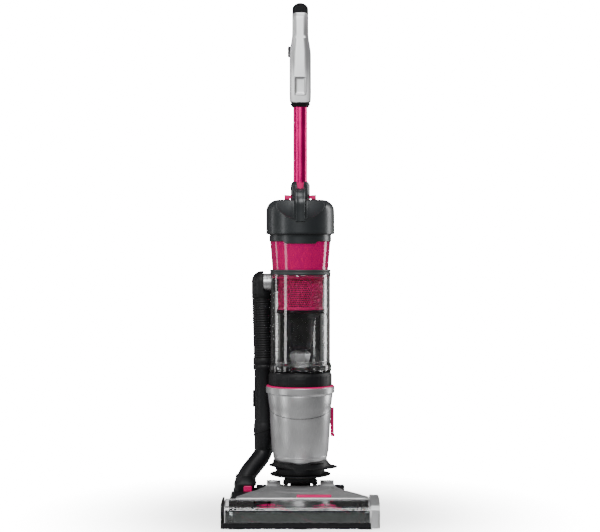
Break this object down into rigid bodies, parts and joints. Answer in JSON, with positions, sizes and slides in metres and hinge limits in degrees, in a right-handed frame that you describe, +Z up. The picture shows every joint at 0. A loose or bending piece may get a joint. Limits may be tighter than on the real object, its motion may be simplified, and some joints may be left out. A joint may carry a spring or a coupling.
{
  "type": "upright vacuum cleaner",
  "caption": "Upright bagless vacuum cleaner with a tilting and steering floor head, a lift-out clear dust bin, a side hose and a pull-out handle.",
  "frame": {"origin": "middle of the bounding box's base, on the floor under the machine", "axes": "+Z up along the handle, the front of the floor head faces -Y, +X to the right seen from the front"},
  "size_m": [0.308, 0.34, 1.066],
  "materials": {
    "silver": "satin silver metallic paint on moulded plastic",
    "gunmetal": "satin dark grey moulded plastic",
    "black": "fine textured black moulded plastic",
    "hose_black": "flexible black hose plastic",
    "rubber": "soft black rubber",
    "pink": "gloss pink moulded plastic",
    "pink_metal": "gloss pink anodised tube",
    "pink_clear": "tinted see-through pink plastic",
    "clear": "clear polished plastic",
    "smoked": "smoke-tinted see-through plastic",
    "dark_grey": "dark grey seal and duct plastic",
    "steel": "turned steel",
    "motor_metal": "die-cast motor case",
    "copper": "copper-coloured moulded pulley",
    "bristle": "pink nylon bristle",
    "filter_white": "pleated white filter",
    "foam": "washable blue foam"
  },
  "bodies": {
    "head": {"sole_plate": "black", "head_cover": "silver", "clear_hood": "smoked", "front_bumper": "rubber", "right_end_cap": "silver", "trim_strip": "pink", "brush_bearings": "steel", "brush_motor": "motor_metal", "drive_belt": "rubber", "suction_duct": "black", "axle_pins": "steel"},
    "brush": {"brush_core": "dark_grey", "brush_bristles": "bristle", "brush_pulley": "copper"},
    "brush_drive": {"motor_pulley": "steel"},
    "left_wheel": {"left_wheel": "rubber"},
    "right_wheel": {"right_wheel": "rubber"},
    "left_roller": {"left_roller": "rubber"},
    "right_roller": {"right_roller": "rubber"},
    "duct": {"duct_drum": "black"},
    "duct_button": {"duct_button": "pink"},
    "yoke": {"yoke": "black", "lower_hose": "hose_black"},
    "body": {"base_skirt": "black", "motor_cup": "silver", "cup_ring": "pink", "latch_ring": "black", "motor_can": "motor_metal", "motor_mounts": "rubber", "exhaust_filter": "filter_white", "spine": "black", "spine_screws": "steel", "tube_socket": "gunmetal", "cord_inlet": "rubber", "hose_elbow": "black", "suction_hose": "hose_black", "hose_cuff": "black"},
    "impeller": {"impeller": "steel"},
    "bin_button": {"bin_button": "black"},
    "tube_catch": {"tube_catch": "pink"},
    "left_tab": {"left_tab": "pink"},
    "right_tab": {"right_tab": "pink"},
    "power_switch": {"power_switch": "pink"},
    "cord_hook": {"cord_hook": "pink"},
    "bin": {"bin_shell": "clear", "bin_base": "clear", "seal_ring": "dark_grey", "shroud": "pink", "cyclone_cone": "black", "cyclone_shell": "pink_clear", "inlet_connector": "dark_grey", "foam_filter": "foam", "cap": "gunmetal", "carry_handle": "gunmetal"},
    "handle": {"handle_tube": "pink_metal", "handle_collar": "black", "handle_shell": "silver", "handle_grip": "rubber", "handle_panel": "silver", "cord_clip": "black"}
  },
  "joints": [
    {"name": "recline", "type": "hinge", "parent": "head", "child": "yoke", "pos_m": [0, 0.058, 0.026], "axis": [-1, 0, 0], "range_deg": [0, 60]},
    {"name": "steer", "type": "hinge", "parent": "yoke", "child": "body", "pos_m": [0, 0.038, 0.079], "axis": [0, 0, 1], "range_deg": [-30, 30], "deforming": ["lower_hose"]},
    {"name": "duct_swivel", "type": "hinge", "parent": "head", "child": "duct", "pos_m": [-0.117, 0.058, 0.026], "axis": [-1, 0, 0], "range_deg": [0, 60]},
    {"name": "duct_button_press", "type": "slide", "parent": "duct", "child": "duct_button", "axis": [0, 1, 0], "range_m": [0, 0.002], "stiffness_N_per_m": 500},
    {"name": "left_wheel_spin", "type": "hinge", "parent": "head", "child": "left_wheel", "pos_m": [-0.081, 0.058, 0.026], "axis": [1, 0, 0], "continuous": true},
    {"name": "right_wheel_spin", "type": "hinge", "parent": "head", "child": "right_wheel", "pos_m": [0.081, 0.058, 0.026], "axis": [1, 0, 0], "continuous": true},
    {"name": "left_roller_spin", "type": "hinge", "parent": "head", "child": "left_roller", "pos_m": [-0.076, -0.098, 0.0085], "axis": [1, 0, 0], "continuous": true},
    {"name": "right_roller_spin", "type": "hinge", "parent": "head", "child": "right_roller", "pos_m": [0.076, -0.098, 0.0085], "axis": [1, 0, 0], "continuous": true},
    {"name": "brush_spin", "type": "hinge", "parent": "head", "child": "brush", "pos_m": [0, -0.14, 0.0235], "axis": [1, 0, 0], "continuous": true},
    {"name": "brush_drive_spin", "type": "hinge", "parent": "head", "child": "brush_drive", "pos_m": [0.09, -0.08, 0.026], "axis": [1, 0, 0], "continuous": true},
    {"name": "impeller_spin", "type": "hinge", "parent": "body", "child": "impeller", "pos_m": [0, 0.038, 0.21], "axis": [0, 0, 1], "continuous": true},
    {"name": "bin_slide", "type": "slide", "parent": "body", "child": "bin", "axis": [0, -1, 0], "range_m": [0, 0.12]},
    {"name": "handle_slide", "type": "slide", "parent": "body", "child": "handle", "axis": [0, 0, 1], "range_m": [0, 0.11]},
    {"name": "bin_button_press", "type": "slide", "parent": "body", "child": "bin_button", "axis": [0, 1, 0], "range_m": [0, 0.0015], "stiffness_N_per_m": 500},
    {"name": "tube_catch_press", "type": "slide", "parent": "body", "child": "tube_catch", "axis": [0, 1, 0], "range_m": [0, 0.0015], "stiffness_N_per_m": 500},
    {"name": "left_tab_press", "type": "slide", "parent": "body", "child": "left_tab", "axis": [1, 0, 0], "range_m": [0, 0.002], "stiffness_N_per_m": 500},
    {"name": "right_tab_press", "type": "slide", "parent": "body", "child": "right_tab", "axis": [-1, 0, 0], "range_m": [0, 0.002], "stiffness_N_per_m": 500},
    {"name": "power_switch_press", "type": "slide", "parent": "body", "child": "power_switch", "axis": [0, -1, 0], "range_m": [0, 0.0015], "stiffness_N_per_m": 500},
    {"name": "cord_hook_swing", "type": "hinge", "parent": "body", "child": "cord_hook", "pos_m": [0.066, 0.072, 0.182], "axis": [1, 0, 0], "range_deg": [0, 180]}
  ],
  "couplings": [
    {"joint": "brush_drive_spin", "follows": "brush_spin", "ratio": 1.75},
    {"joint": "duct_swivel", "follows": "recline", "ratio": 1}
  ]
}
